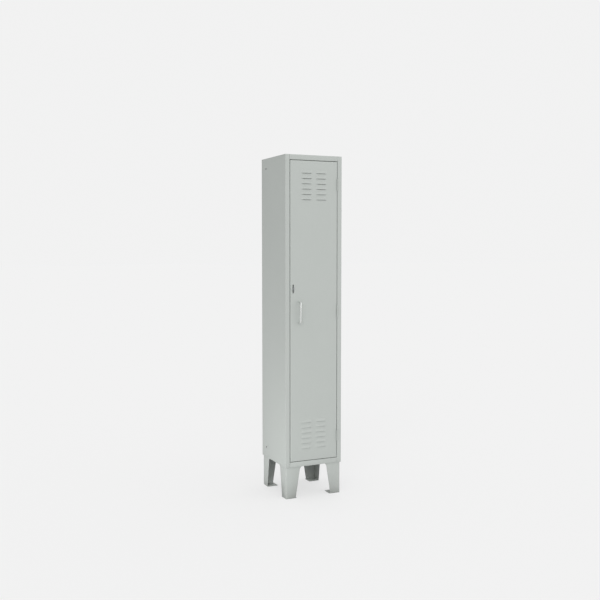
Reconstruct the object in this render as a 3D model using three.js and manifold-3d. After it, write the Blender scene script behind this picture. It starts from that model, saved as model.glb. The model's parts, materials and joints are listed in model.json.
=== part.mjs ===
// A tall, narrow steel clothes locker on four folded legs, with one louvred door.
// Millimetres, +Z up. The origin is on the floor under the middle of the whole box, handle included.
// The front faces -Y. The door is hung on the right (+X) and carries its handle on the left (-X).
import * as THREE from 'three';
import { mergeVertices } from 'three/addons/utils/BufferGeometryUtils.js';
import Module from 'manifold-3d';

const wasm = await Module();
wasm.setup();

// ---- Overall size
const bodyWidth = 325;
const bodyDepth = 325;
const totalHeight = 1800;
const legHeight = 168;

// ---- Sheet metal and gaps
const sheet = 1.2;
const joinGap = 0.3; // between pieces that touch or are welded
const past = 1; // how far a cutting or joining shape runs past the face it meets
const stileWidth = 24.5; // front face of each side panel
const railHeight = 26.5; // front face of the top and bottom panels
const stopWidth = 14; // flange behind the door's edge
const rearFlange = 16;
const trayFlange = 20;
const bumperSpace = 2.5; // from the closed door's back to the stop flange

// ---- Door
const doorSheet = 1;
const doorDepth = 18;
const doorRim = 12; // flange turned in around the door's back
const doorSideGap = 3;
const doorEndGap = 3;

// ---- Louvres, in two columns at the top and at the bottom of the door
const louvreWidth = 67;
const louvreColumnGap = 17;
const louvreRise = 14;
const louvreReach = 5;
const louvreLip = 2; // hood's lowest outer edge above the slit
const louvreMouth = 2.2; // how far the slit drops below the hood
const louvrePitch = 27.3;
const louvreRows = 6;
const louvreInset = 65; // door's top or bottom edge to the nearest slit

// ---- Hinges
const knuckleRadius = 3;
const pinRadius = 1.5;
const pinClearance = 0.1;
const pinHeadHeight = 1.2;
const hingeHeight = 62;
const hingeInset = 118; // door's end to the hinge's middle
const leafSheet = 1;
const leafDepth = 15;
const knuckleSetOff = 0.6; // barrel stands this far in front of the front face

// ---- Handle
const handleBar = 10;
const handleSpacing = 110;
const handleReach = 30;
const handleBend = 13;
const handleFromEdge = 48; // door's left edge to the posts
const handleScrewRadius = 2.5;
const handleScrewReach = 8; // into the post
const handleThreadDepth = 9;
const handleHeadRadius = 5;
const handleHeadHeight = 2.5;

// ---- Padlock eye and its slot
const slotFromEdge = 16.5; // door's left edge to the slot's middle
const slotWidth = 5.5;
const slotHeight = 46;
const slotAboveHandle = 123; // handle's middle to the slot's middle
const eyePlate = 2;
const eyeHeight = 22;
const eyeReach = 14;
const eyeHoleRadius = 4.5;
const eyeFoot = 17;

// ---- Door buffers and magnet
const bumperRadius = 5;
const bumperFromEnd = 60;
const bumperOffset = 1; // past the stop flange's middle, clear of the door's fold
const magnetLength = 60;
const magnetWidth = 10;

// ---- Inside
const shelfDrop = 300; // body's top to the shelf's upper face
const shelfSetBack = 6;
const railDrop = 60; // shelf's upper face to the coat rail's middle
const coatRailHeight = 24;
const coatRailWidth = 12;
const coatRailWall = 1.5;
const bracketPlate = 2;
const bracketCup = 10;
const bracketWall = 2.2;
const bracketEar = 9;
const hookCount = 3;
const hookWidth = 12;
const hookWall = 3;
const hookClearance = 0.6;
const hookArm = 6;
const hookSpread = 20;
const hookNeck = 2; // collar's underside to the middle of the arms' bend

// ---- Door stiffener, a hat section between the two fields of louvres
const stiffenerCrown = 34;
const stiffenerBrim = 12;
const stiffenerDepth = 11;
const stiffenerMargin = 30;

// ---- Legs
const legSheet = 2;
const legInset = 5;
const legTopWidth = 90;
const legNeckWidth = 80;
const legNeckDrop = 12;
const legFootWidth = 55;
const footPlate = 61;
const capMargin = 20; // cap's edge past the bolt
const boltToStop = 1.3; // bolt's head to the stop flange above it
const boltRadius = 4;
const boltHoleRadius = 4.4;
const boltHead = 8;
const boltHeadHeight = 4;
const boltCrown = 6; // radius of the head's upper half
const boltPastNut = 3;
const nutRadius = 7.4;
const nutHeight = 6;

// ---- Holes in the side panels
const sideHoleRadius = 5;
const sideHoleFromRear = 62.5;
const sideHoleBelowTop = 55;
const sideHoleAboveBottom = 56;

// ---- Planes that the pieces share
const left = -bodyWidth / 2;
const right = bodyWidth / 2;
const front = -(bodyDepth - handleReach) / 2;
const back = front + bodyDepth;
const bottom = legHeight;
const top = totalHeight;
const stopFace = front + doorDepth + bumperSpace;
const innerLeft = left + sheet + joinGap;
const innerRight = right - sheet - joinGap;
const backPanelFront = back - 2 * sheet - joinGap;
const innerBack = backPanelFront - joinGap;
const floorTop = bottom + railHeight;
const floorUnder = floorTop - sheet;
const doorLeft = left + stileWidth + doorSideGap;
const doorRight = right - stileWidth - doorSideGap;
const doorBottom = floorTop + doorEndGap;
const doorTop = top - railHeight - doorEndGap;
const doorBack = front + doorDepth;
const doorMiddle = (doorBottom + doorTop) / 2;
const hingeX = doorRight + doorSideGap / 2;
const hingeY = front - knuckleSetOff - knuckleRadius;
const hingeHeights = [doorBottom + hingeInset, doorMiddle, doorTop - hingeInset];
const handleX = doorLeft + handleFromEdge;
const slotX = doorLeft + slotFromEdge;
const slotZ = doorMiddle + slotAboveHandle;
const shelfTop = top - shelfDrop;
const coatRailZ = shelfTop - railDrop;
const coatRailY = (stopFace + innerBack) / 2;
const boltFromCorner = stopFace + sheet - front - legInset + boltHead + boltToStop;

// ---- Finishes
const paint = { color: 0xbdc3bf, roughness: 0.45, metalness: 0.1 };
const zinc = { color: 0xb4b6b8, roughness: 0.35, metalness: 0.9 };
const nickel = { color: 0xd2d3d0, roughness: 0.2, metalness: 1 };
const rubber = { color: 0x2b2b2c, roughness: 0.85, metalness: 0 };
const ferrite = { color: 0x3a3a3c, roughness: 0.6, metalness: 0.1 };
const moulded = { color: 0x35373a, roughness: 0.5, metalness: 0 };

// ---- Facets
const weldDistance = 1e-4;
const curveSides = 16;
const fineSides = 20;
const bowSteps = 32;
const bowSides = 6; // to each half of the bar's section

const model = new THREE.Group();

function addPart(name, geometry, finish) {
  const mesh = new THREE.Mesh(geometry, new THREE.MeshStandardMaterial(finish));
  mesh.name = name;
  model.add(mesh);
}

// ---- Booleans
function toSolid(geometry) {
  const bare = geometry.clone();
  bare.deleteAttribute('normal');
  bare.deleteAttribute('uv');
  const merged = mergeVertices(bare, weldDistance);
  const vertProperties = new Float32Array(merged.attributes.position.array);
  const triVerts = new Uint32Array(merged.index.array);
  return new wasm.Manifold(new wasm.Mesh({ numProp: 3, vertProperties, triVerts }));
}

function toGeometry(solid) {
  const result = solid.getMesh();
  const geometry = new THREE.BufferGeometry();
  geometry.setAttribute('position', new THREE.BufferAttribute(new Float32Array(result.vertProperties), 3));
  geometry.setIndex(new THREE.BufferAttribute(new Uint32Array(result.triVerts), 1));
  geometry.computeVertexNormals();
  return geometry;
}

function join(...pieces) {
  return toGeometry(pieces.map(toSolid).reduce((whole, piece) => whole.add(piece)));
}

function cut(piece, ...tools) {
  return toGeometry(tools.map(toSolid).reduce((whole, tool) => whole.subtract(tool), toSolid(piece)));
}

// ---- Basic shapes, placed by their limits
function block(x0, x1, y0, y1, z0, z1) {
  const geometry = new THREE.BoxGeometry(x1 - x0, y1 - y0, z1 - z0);
  return geometry.translate((x0 + x1) / 2, (y0 + y1) / 2, (z0 + z1) / 2);
}

function outline(points) {
  return new THREE.Shape(points.map(([a, b]) => new THREE.Vector2(a, b)));
}

function extrude(shape, depth, curveSegments = 8) {
  return new THREE.ExtrudeGeometry(shape, { depth, bevelEnabled: false, curveSegments });
}

// The shape's own axes are X and Y.
function prismZ(shape, z0, z1) {
  return extrude(shape, z1 - z0).translate(0, 0, z0);
}

// The shape's own axes are Y and Z.
function prismX(shape, x0, x1) {
  const turn = new THREE.Matrix4().makeBasis(
    new THREE.Vector3(0, 1, 0),
    new THREE.Vector3(0, 0, 1),
    new THREE.Vector3(1, 0, 0),
  );
  return extrude(shape, x1 - x0).applyMatrix4(turn).translate(x0, 0, 0);
}

// The shape's own axes are X and Z.
function prismY(shape, y0, y1) {
  return extrude(shape, y1 - y0).rotateX(Math.PI / 2).translate(0, y1, 0);
}

function rodZ(radius, x, y, z0, z1, sides = curveSides) {
  const geometry = new THREE.CylinderGeometry(radius, radius, z1 - z0, sides);
  return geometry.rotateX(Math.PI / 2).translate(x, y, (z0 + z1) / 2);
}

function rodX(radius, x0, x1, y, z, sides = curveSides) {
  const geometry = new THREE.CylinderGeometry(radius, radius, x1 - x0, sides);
  return geometry.rotateZ(Math.PI / 2).translate((x0 + x1) / 2, y, z);
}

function rodY(radius, x, y0, y1, z, sides = curveSides) {
  const geometry = new THREE.CylinderGeometry(radius, radius, y1 - y0, sides);
  return geometry.translate(x, (y0 + y1) / 2, z);
}

// A slot-ended outline: two half circles joined by straight sides, tall along its second axis.
function stadium(shape, a, b, width, height) {
  const radius = width / 2;
  const rise = height / 2 - radius;
  shape.absarc(a, b + rise, radius, 0, Math.PI, false);
  shape.absarc(a, b - rise, radius, Math.PI, 2 * Math.PI, false);
  shape.closePath();
  return shape;
}

// ---- Side panels: stile, return and stop flange at the front, flange at the rear
function sidePanel(side) {
  const at = (x, y) => [side * (bodyWidth / 2 - x), front + y];
  const shell = outline([
    at(stileWidth, 0), at(0, 0), at(0, bodyDepth), at(rearFlange, bodyDepth),
    at(rearFlange, bodyDepth - sheet), at(sheet, bodyDepth - sheet), at(sheet, sheet), at(stileWidth, sheet),
  ]);
  const stopSetBack = stopFace - front;
  const stop = outline([
    at(stileWidth, 0), at(stileWidth - sheet, 0), at(stileWidth - sheet, stopSetBack + sheet),
    at(stileWidth + stopWidth, stopSetBack + sheet), at(stileWidth + stopWidth, stopSetBack),
    at(stileWidth, stopSetBack),
  ]);
  const outer = side * bodyWidth / 2;
  const holes = [top - sideHoleBelowTop, bottom + sideHoleAboveBottom].map(
    (z) => rodX(sideHoleRadius, outer - 2 * sheet, outer + 2 * sheet, back - sideHoleFromRear, z, fineSides),
  );
  const folded = join(
    prismZ(shell, bottom, top - sheet - joinGap),
    prismZ(stop, floorTop + joinGap, top - railHeight - joinGap),
  );
  return cut(folded, ...holes);
}

// ---- Top panel: a cap with a front rail that turns back and down behind the door
function topPanel() {
  const railLeft = left + stileWidth + joinGap;
  const railRight = right - stileWidth - joinGap;
  const railUnder = top - railHeight;
  const flangeUnder = top - trayFlange;
  const rail = outline([
    [front, top], [front, railUnder], [stopFace, railUnder], [stopFace, railUnder - stopWidth],
    [stopFace + sheet, railUnder - stopWidth], [stopFace + sheet, railUnder + sheet],
    [front + sheet, railUnder + sheet], [front + sheet, top],
  ]);
  const lipLeft = left + stileWidth + stopWidth + joinGap;
  const lipRight = right - stileWidth - stopWidth - joinGap;
  const railRun = prismX(rail, railLeft, railRight);
  const lipUnder = railUnder - stopWidth - past;
  const lipCorners = [
    [railLeft - past, lipLeft],
    [lipRight, railRight + past],
  ].map(([x0, x1]) => block(x0, x1, stopFace - past, stopFace + 2 * sheet, lipUnder, railUnder));
  const flangeRear = innerBack;
  return join(
    block(left, right, front, back, top - sheet, top),
    cut(railRun, ...lipCorners),
    block(innerLeft, innerLeft + sheet, front + stileWidth, flangeRear, flangeUnder, top - sheet / 2),
    block(innerRight - sheet, innerRight, front + stileWidth, flangeRear, flangeUnder, top - sheet / 2),
    block(innerLeft, innerRight, flangeRear - sheet, flangeRear, flangeUnder, top - sheet / 2),
  );
}

// ---- Bottom panel: the locker's floor, with its edges turned down inside the body
function bottomPanel() {
  const railLeft = left + stileWidth + joinGap;
  const railRight = right - stileWidth - joinGap;
  const behindStile = front + sheet + joinGap;
  const flangeUnder = floorTop - trayFlange;
  const pan = join(
    block(innerLeft, innerRight, behindStile, innerBack, floorUnder, floorTop),
    block(railLeft, railRight, front, behindStile + past, floorUnder, floorTop),
    block(railLeft, railRight, front, front + sheet, bottom, floorTop),
    block(innerLeft, innerLeft + sheet, behindStile, innerBack, flangeUnder, floorTop),
    block(innerRight - sheet, innerRight, behindStile, innerBack, flangeUnder, floorTop),
    block(innerLeft, innerRight, innerBack - sheet, innerBack, flangeUnder, floorTop),
  );
  const boltHoles = legCorners().map(
    ({ boltX, boltY }) => rodZ(boltHoleRadius, boltX, boltY, floorUnder - past, floorTop + past),
  );
  return cut(pan, ...boltHoles);
}

// ---- Back panel, held between the side panels' rear flanges and the trays
function backPanel() {
  return block(innerLeft, innerRight, backPanelFront, backPanelFront + sheet, bottom, top - sheet - joinGap);
}

// ---- Hat shelf: a tray with its edges turned down
function hatShelf() {
  const shelfFront = stopFace + sheet + shelfSetBack;
  const under = shelfTop - trayFlange;
  return cut(
    block(innerLeft, innerRight, shelfFront, innerBack, under, shelfTop),
    block(
      innerLeft + sheet, innerRight - sheet, shelfFront + sheet, innerBack - sheet,
      under - past, shelfTop - sheet,
    ),
  );
}

// ---- Coat rail, an oval tube that keeps the hooks upright, and its two end cups
function ovalTube(x0, x1, width, height, wall, y, z) {
  const shape = stadium(new THREE.Shape(), y, z, width, height);
  shape.holes.push(stadium(new THREE.Path(), y, z, width - 2 * wall, height - 2 * wall));
  return prismX(shape, x0, x1);
}

function railBracket(side) {
  const wallFace = side * (bodyWidth / 2 - sheet - joinGap);
  const plateFace = wallFace - side * bracketPlate;
  const cupEnd = plateFace - side * bracketCup;
  const cupWidth = coatRailWidth + 2 * (joinGap + bracketWall);
  const cupHeight = coatRailHeight + 2 * (joinGap + bracketWall);
  const plate = prismX(
    stadium(new THREE.Shape(), coatRailY, coatRailZ, cupWidth, cupHeight + 2 * bracketEar),
    Math.min(wallFace, plateFace),
    Math.max(wallFace, plateFace),
  );
  const overlap = side * bracketPlate / 2;
  const cup = ovalTube(
    Math.min(plateFace + overlap, cupEnd),
    Math.max(plateFace + overlap, cupEnd),
    cupWidth, cupHeight, bracketWall, coatRailY, coatRailZ,
  );
  return join(plate, cup);
}

function coatRail() {
  const end = bodyWidth / 2 - sheet - 2 * joinGap - bracketPlate;
  return ovalTube(-end, end, coatRailWidth, coatRailHeight, coatRailWall, coatRailY, coatRailZ);
}

// ---- Sliding hook: a collar around the rail, a stem, and an arm turned up on each side
function coatHook(x) {
  const holeWidth = coatRailWidth + 2 * hookClearance;
  const holeHeight = coatRailHeight + 2 * hookClearance;
  const collar = ovalTube(
    x - hookWidth / 2, x + hookWidth / 2,
    holeWidth + 2 * hookWall, holeHeight + 2 * hookWall, hookWall, coatRailY, coatRailZ,
  );
  const collarUnder = coatRailZ - holeHeight / 2 - hookWall;
  const cradle = new THREE.Shape();
  const cradleZ = collarUnder - hookNeck;
  cradle.absarc(coatRailY, cradleZ, hookSpread, Math.PI, 2 * Math.PI, false);
  cradle.absarc(coatRailY, cradleZ, hookSpread - hookArm, 2 * Math.PI, Math.PI, true);
  cradle.closePath();
  const stemUnder = cradleZ - hookSpread + hookArm / 2;
  return join(
    collar,
    block(x - hookArm / 2, x + hookArm / 2, coatRailY - hookArm / 2, coatRailY + hookArm / 2,
      stemUnder, collarUnder + hookWall / 2),
    prismX(cradle, x - hookArm / 2, x + hookArm / 2),
  );
}

function hookPlaces() {
  const step = bodyWidth / (hookCount + 1);
  return Array.from({ length: hookCount }, (_, index) => left + step * (index + 1));
}

// ---- Door: a folded pan with louvres and the slot for the padlock eye
function louvreSlits() {
  const rows = Array.from({ length: louvreRows }, (_, index) => index * louvrePitch);
  const upper = rows.map((drop) => doorTop - louvreInset - drop);
  const lower = rows.map((rise) => doorBottom + louvreInset + rise);
  return [...upper, ...lower];
}

function louvreColumns() {
  const middle = (doorLeft + doorRight) / 2;
  const offset = (louvreWidth + louvreColumnGap) / 2;
  return [middle - offset, middle + offset];
}

function louvreHood(x, slit, wall) {
  const grow = wall > 0 ? 1 : 0;
  const profile = outline([
    [front + doorSheet / 2 + 2 * grow * doorSheet, slit + louvreRise - wall],
    [front - louvreReach + wall, slit + louvreLip * (1 - grow)],
    [front - louvreReach + wall, slit - louvreMouth * grow],
    [front + doorSheet / 2 + 2 * grow * doorSheet, slit - louvreMouth * grow],
  ]);
  return prismX(profile, x - louvreWidth / 2 + wall, x + louvreWidth / 2 - wall);
}

function doorPan() {
  const pan = cut(
    block(doorLeft, doorRight, front, doorBack, doorBottom, doorTop),
    block(
      doorLeft + doorSheet, doorRight - doorSheet, front + doorSheet, doorBack - doorSheet,
      doorBottom + doorSheet, doorTop - doorSheet,
    ),
    block(
      doorLeft + doorRim, doorRight - doorRim, doorBack - 2 * doorSheet, doorBack + past,
      doorBottom + doorRim, doorTop - doorRim,
    ),
  );
  const places = louvreColumns().flatMap((x) => louvreSlits().map((slit) => [x, slit]));
  const hoods = places.map(([x, slit]) => louvreHood(x, slit, 0));
  const hollows = places.map(([x, slit]) => louvreHood(x, slit, doorSheet));
  const slotCut = prismY(
    stadium(new THREE.Shape(), slotX, slotZ, slotWidth, slotHeight),
    front - past,
    front + 2 * doorSheet,
  );
  const screwHoles = handleScrewHeights().map(
    (z) => rodY(handleScrewRadius + joinGap, handleX, front - past, front + 2 * doorSheet, z),
  );
  return cut(join(pan, ...hoods), ...hollows, slotCut, ...screwHoles);
}

function doorStiffener() {
  const middle = (doorLeft + doorRight) / 2;
  const brimFace = front + doorSheet + joinGap;
  const crownFace = brimFace + stiffenerDepth;
  const half = stiffenerCrown / 2;
  const wide = half + stiffenerBrim;
  const hat = outline([
    [middle - wide, brimFace], [middle - half + doorSheet, brimFace], [middle - half + doorSheet, crownFace],
    [middle + half - doorSheet, crownFace], [middle + half - doorSheet, brimFace], [middle + wide, brimFace],
    [middle + wide, brimFace + doorSheet], [middle + half, brimFace + doorSheet],
    [middle + half, crownFace + doorSheet], [middle - half, crownFace + doorSheet],
    [middle - half, brimFace + doorSheet], [middle - wide, brimFace + doorSheet],
  ]);
  const field = louvreInset + (louvreRows - 1) * louvrePitch + louvreRise + stiffenerMargin;
  return prismZ(hat, doorBottom + field, doorTop - field);
}

// ---- Handle: a bent bar on two posts, each held by a screw from inside the door
function handleScrewHeights() {
  return [doorMiddle - handleSpacing / 2, doorMiddle + handleSpacing / 2];
}

function handleBow() {
  const [low, high] = handleScrewHeights();
  const postFoot = front - joinGap;
  const barY = front - handleReach + handleBar / 2;
  const at = (y, z) => new THREE.Vector3(handleX, y, z);
  const path = new THREE.CurvePath();
  path.add(new THREE.LineCurve3(at(postFoot, low), at(barY + handleBend, low)));
  path.add(new THREE.QuadraticBezierCurve3(
    at(barY + handleBend, low), at(barY, low), at(barY, low + handleBend),
  ));
  path.add(new THREE.LineCurve3(at(barY, low + handleBend), at(barY, high - handleBend)));
  path.add(new THREE.QuadraticBezierCurve3(
    at(barY, high - handleBend), at(barY, high), at(barY + handleBend, high),
  ));
  path.add(new THREE.LineCurve3(at(barY + handleBend, high), at(postFoot, high)));
  const section = new THREE.Shape();
  section.absarc(0, 0, handleBar / 2, 0, 2 * Math.PI, false);
  const bow = new THREE.ExtrudeGeometry(section, {
    steps: bowSteps, extrudePath: path, curveSegments: bowSides,
  });
  const threads = [low, high].map(
    (z) => rodY(handleScrewRadius + joinGap, handleX, postFoot - handleThreadDepth, front + past, z),
  );
  return cut(bow, ...threads);
}

function handleScrew(z) {
  const headFace = front + doorSheet + joinGap;
  const shankEnd = front - joinGap - handleScrewReach;
  return join(
    rodY(handleScrewRadius, handleX, shankEnd, headFace + past, z),
    rodY(handleHeadRadius, handleX, headFace, headFace + handleHeadHeight, z),
  );
}

// ---- Hinges: knuckles in front of the gap, and leaves that run back into it
function hingeKnuckle(z0, z1) {
  return cut(
    rodZ(knuckleRadius, hingeX, hingeY, z0, z1),
    rodZ(pinRadius + pinClearance, hingeX, hingeY, z0 - past, z1 + past),
  );
}

function hingeLeaf(side, middle, knuckles) {
  const inGap = doorSideGap / 2 - joinGap;
  const x0 = side > 0 ? hingeX + inGap - leafSheet : hingeX - inGap;
  const low = middle - hingeHeight / 2;
  const high = middle + hingeHeight / 2;
  const plate = block(x0, x0 + leafSheet, front - joinGap, front + leafDepth, low, high);
  const arms = knuckles.map(([z0, z1]) => cut(
    block(x0, x0 + leafSheet, hingeY, front, z0, z1),
    rodZ(pinRadius + pinClearance, hingeX, hingeY, z0 - past, z1 + past),
  ));
  return join(plate, ...arms, ...knuckles.map(([z0, z1]) => hingeKnuckle(z0, z1)));
}

function hingeParts(middle, name) {
  const third = hingeHeight / 3;
  const low = middle - hingeHeight / 2;
  const high = middle + hingeHeight / 2;
  addPart(`hinge_frame_leaf_${name}`, hingeLeaf(1, middle, [
    [low, low + third - joinGap], [high - third + joinGap, high],
  ]), paint);
  addPart(`hinge_door_leaf_${name}`, hingeLeaf(-1, middle, [[low + third, high - third]]), paint);
  addPart(`hinge_pin_${name}`, join(
    rodZ(pinRadius, hingeX, hingeY, low, high + joinGap + pinHeadHeight / 2),
    rodZ(knuckleRadius, hingeX, hingeY, high + joinGap, high + joinGap + pinHeadHeight),
  ), zinc);
}

// ---- Padlock eye: an arm that stands out through the door's slot, on a foot behind the stop flange
function padlockEye() {
  const tip = front - eyeReach;
  const corner = eyeHeight / 3;
  const footBack = stopFace + sheet + joinGap + eyePlate;
  const low = slotZ - eyeHeight / 2;
  const high = slotZ + eyeHeight / 2;
  const arm = new THREE.Shape();
  arm.moveTo(footBack, low);
  arm.lineTo(footBack, high);
  arm.lineTo(tip + corner, high);
  arm.absarc(tip + corner, high - corner, corner, Math.PI / 2, Math.PI, false);
  arm.absarc(tip + corner, low + corner, corner, Math.PI, 1.5 * Math.PI, false);
  arm.closePath();
  const hole = new THREE.Path();
  hole.absarc(tip + corner, slotZ, eyeHoleRadius, 0, 2 * Math.PI, true);
  arm.holes.push(hole);
  const armLeft = slotX - eyePlate / 2;
  return join(
    prismX(arm, armLeft, armLeft + eyePlate),
    block(armLeft + eyePlate - eyeFoot, armLeft + eyePlate, footBack - eyePlate, footBack, low, high),
  );
}

// ---- Rubber buffers and the magnet strip on the left stop flange, which meet the door's rim
function bumper(z) {
  const x = left + stileWidth + stopWidth / 2 + bumperOffset;
  return rodY(bumperRadius, x, doorBack + joinGap, stopFace - joinGap, z);
}

function magnetStrip() {
  const x0 = left + stileWidth + doorSideGap;
  const z0 = doorMiddle - handleSpacing - magnetLength;
  return block(x0, x0 + magnetWidth, doorBack + joinGap, stopFace - joinGap, z0, z0 + magnetLength);
}

// ---- Legs: an angle of tapered sheet with a foot plate, and a cap bolted up under the floor
function legCorners() {
  const places = [
    ['front_left', 1, 1], ['front_right', -1, 1], ['rear_left', 1, -1], ['rear_right', -1, -1],
  ];
  return places.map(([name, inX, inY]) => {
    const cornerX = inX > 0 ? left + legInset : right - legInset;
    const cornerY = inY > 0 ? front + legInset : back - legInset;
    const boltX = cornerX + inX * boltFromCorner;
    const boltY = cornerY + inY * boltFromCorner;
    return { name, cornerX, cornerY, inX, inY, boltX, boltY };
  });
}

function legWeb(origin, inward) {
  const capTop = floorUnder - joinGap;
  return outline([
    [0, 0], [legFootWidth, 0], [legNeckWidth, bottom - legNeckDrop], [legTopWidth, bottom],
    [legTopWidth, capTop], [0, capTop],
  ].map(([across, z]) => [origin + inward * across, z]));
}

function leg({ cornerX, cornerY, inX, inY, boltX, boltY }) {
  const capTop = floorUnder - joinGap;
  const span = (from, inward, width) => [from, from + inward * width].sort((a, b) => a - b);
  const square = (width, z0, z1) => block(
    ...span(cornerX, inX, width), ...span(cornerY, inY, width), z0, z1,
  );
  const angle = join(
    prismY(legWeb(cornerX, inX), ...span(cornerY, inY, legSheet)),
    prismX(legWeb(cornerY, inY), ...span(cornerX, inX, legSheet)),
    square(footPlate, 0, legSheet),
    square(boltFromCorner + capMargin, capTop - legSheet, capTop),
  );
  return cut(angle, rodZ(boltHoleRadius, boltX, boltY, capTop - 2 * legSheet, capTop + past));
}

function legBolt({ boltX, boltY }) {
  const headUnder = floorTop + joinGap;
  const shankEnd = floorUnder - joinGap - legSheet - nutHeight - boltPastNut;
  return join(
    rodZ(boltRadius, boltX, boltY, shankEnd, headUnder + past),
    rodZ(boltHead, boltX, boltY, headUnder, headUnder + boltHeadHeight / 2, fineSides),
    rodZ(boltCrown, boltX, boltY, headUnder, headUnder + boltHeadHeight, fineSides),
  );
}

function legNut({ boltX, boltY }) {
  const nutTop = floorUnder - legSheet - 2 * joinGap;
  return cut(
    rodZ(nutRadius, boltX, boltY, nutTop - nutHeight, nutTop, 6),
    rodZ(boltRadius + joinGap, boltX, boltY, nutTop - nutHeight - past, nutTop + past),
  );
}

// ---- Assembly: the body
addPart('left_side_panel', sidePanel(-1), paint);
addPart('right_side_panel', sidePanel(1), paint);
addPart('back_panel', backPanel(), paint);
addPart('top_panel', topPanel(), paint);
addPart('bottom_panel', bottomPanel(), paint);
addPart('hat_shelf', hatShelf(), paint);
addPart('coat_rail', coatRail(), zinc);
addPart('rail_bracket_left', railBracket(-1), moulded);
addPart('rail_bracket_right', railBracket(1), moulded);
hookPlaces().forEach((x, index) => addPart(`coat_hook_${index + 1}`, coatHook(x), moulded));
addPart('padlock_eye', padlockEye(), zinc);
addPart('door_bumper_top', bumper(doorTop - bumperFromEnd), rubber);
addPart('door_bumper_bottom', bumper(doorBottom + bumperFromEnd), rubber);
addPart('door_magnet', magnetStrip(), ferrite);
legCorners().forEach((corner) => {
  addPart(`leg_${corner.name}`, leg(corner), paint);
  addPart(`leg_bolt_${corner.name}`, legBolt(corner), zinc);
  addPart(`leg_nut_${corner.name}`, legNut(corner), zinc);
});

// ---- Assembly: the door and its hinges
addPart('door_pan', doorPan(), paint);
addPart('door_stiffener', doorStiffener(), paint);
addPart('door_handle', handleBow(), nickel);
handleScrewHeights().forEach((z, index) => {
  addPart(`handle_screw_${['bottom', 'top'][index]}`, handleScrew(z), zinc);
});
hingeHeights.forEach((middle, index) => hingeParts(middle, ['bottom', 'middle', 'top'][index]));

export default model;
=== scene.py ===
# Steel clothes locker: the looks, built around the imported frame. Metres, +Z up, front towards -Y.
import json
import math

import bmesh
import bpy
from mathutils import Matrix, Vector


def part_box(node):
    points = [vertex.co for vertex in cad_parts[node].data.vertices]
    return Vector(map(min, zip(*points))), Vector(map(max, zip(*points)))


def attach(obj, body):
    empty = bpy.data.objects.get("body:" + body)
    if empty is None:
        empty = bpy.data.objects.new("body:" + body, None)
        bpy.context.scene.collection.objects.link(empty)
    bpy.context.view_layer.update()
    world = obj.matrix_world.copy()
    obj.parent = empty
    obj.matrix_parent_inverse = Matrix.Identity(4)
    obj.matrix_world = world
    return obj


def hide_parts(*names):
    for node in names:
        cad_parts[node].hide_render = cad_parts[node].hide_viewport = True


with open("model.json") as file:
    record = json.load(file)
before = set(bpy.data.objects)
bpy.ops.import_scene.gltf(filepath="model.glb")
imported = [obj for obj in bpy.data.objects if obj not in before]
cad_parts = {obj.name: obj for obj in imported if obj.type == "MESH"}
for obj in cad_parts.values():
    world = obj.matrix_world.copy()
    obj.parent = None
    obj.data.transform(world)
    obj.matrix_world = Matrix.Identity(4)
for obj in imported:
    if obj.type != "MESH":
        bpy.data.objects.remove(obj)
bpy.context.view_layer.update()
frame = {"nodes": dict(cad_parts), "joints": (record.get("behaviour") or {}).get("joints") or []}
print("frame loaded:", len(frame["nodes"]), "nodes")

mm = 0.001
joinGap = 0.3 * mm
hair = 0.1 * mm  # a clearance too small to see
tiny = 0.001 * mm  # points nearer than this are one

# the planes that most pieces share
sideLow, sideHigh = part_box("left_side_panel")
floorLow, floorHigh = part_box("bottom_panel")
doorLow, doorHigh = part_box("door_pan")
bodyLeft, bodyRight = sideLow.x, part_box("right_side_panel")[1].x
bodyFront, bodyBack = sideLow.y, sideHigh.y
bodyBottom, bodyTop = sideLow.z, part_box("top_panel")[1].z
floorTop = floorHigh.z
hingeX, hingeY = frame["joints"][0]["pos_m"][:2]


# helpers that most pieces use
def smoothStep(value):
    value = min(1.0, max(0.0, value))
    return value * value * (3 - 2 * value)


def newVerts(made):
    return [item for item in made["geom"] if isinstance(item, bmesh.types.BMVert)]


def newEdges(made):
    return [item for item in made["geom"] if isinstance(item, bmesh.types.BMEdge)]


def roundFolds(bm, edges, radius, segments=4):
    if edges:
        bmesh.ops.bevel(bm, geom=edges, offset=radius, offset_type="OFFSET", segments=segments,
                        profile=0.5, affect="EDGES", material=-1, clamp_overlap=True)


def foldsOf(bm, angle=0.5):
    return [edge for edge in bm.edges if len(edge.link_faces) == 2 and edge.calc_face_angle() > angle]


def faceOutward(bm, face, facing):
    # turns the whole shell over when the given face looks away from where it should
    bm.normal_update()
    if face.normal.dot(Vector(facing)) < 0:
        bmesh.ops.reverse_faces(bm, faces=bm.faces[:])


def foldedStrip(points, along, start, levels, facing, radius):
    # a sheet that follows the points and is drawn out along one axis; its first stretch looks towards facing
    bm = bmesh.new()
    verts = [bm.verts.new(Vector(point) + Vector(along) * start) for point in points]
    edges = [bm.edges.new(pair) for pair in zip(verts, verts[1:])]
    firstEdge = edges[0]
    place = start
    for level in levels:
        made = bmesh.ops.extrude_edge_only(bm, edges=edges)
        bmesh.ops.translate(bm, verts=newVerts(made), vec=Vector(along) * (level - place))
        loop = set(newVerts(made))
        edges = [edge for edge in newEdges(made) if edge.verts[0] in loop and edge.verts[1] in loop]
        place = level
    faceOutward(bm, firstEdge.link_faces[0], facing)
    roundFolds(bm, foldsOf(bm), radius)
    return bm


def cutAlong(bm, place, normal):
    bmesh.ops.bisect_plane(bm, geom=bm.verts[:] + bm.edges[:] + bm.faces[:], plane_co=place,
                           plane_no=normal, dist=1e-7)


def dropFaces(bm, test):
    gone = [face for face in bm.faces if test(face.calc_center_median())]
    bmesh.ops.delete(bm, geom=gone, context="FACES")


def faceAt(bm, centre):
    return min(bm.faces, key=lambda face: (face.calc_center_bounds() - Vector(centre)).length)


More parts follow.
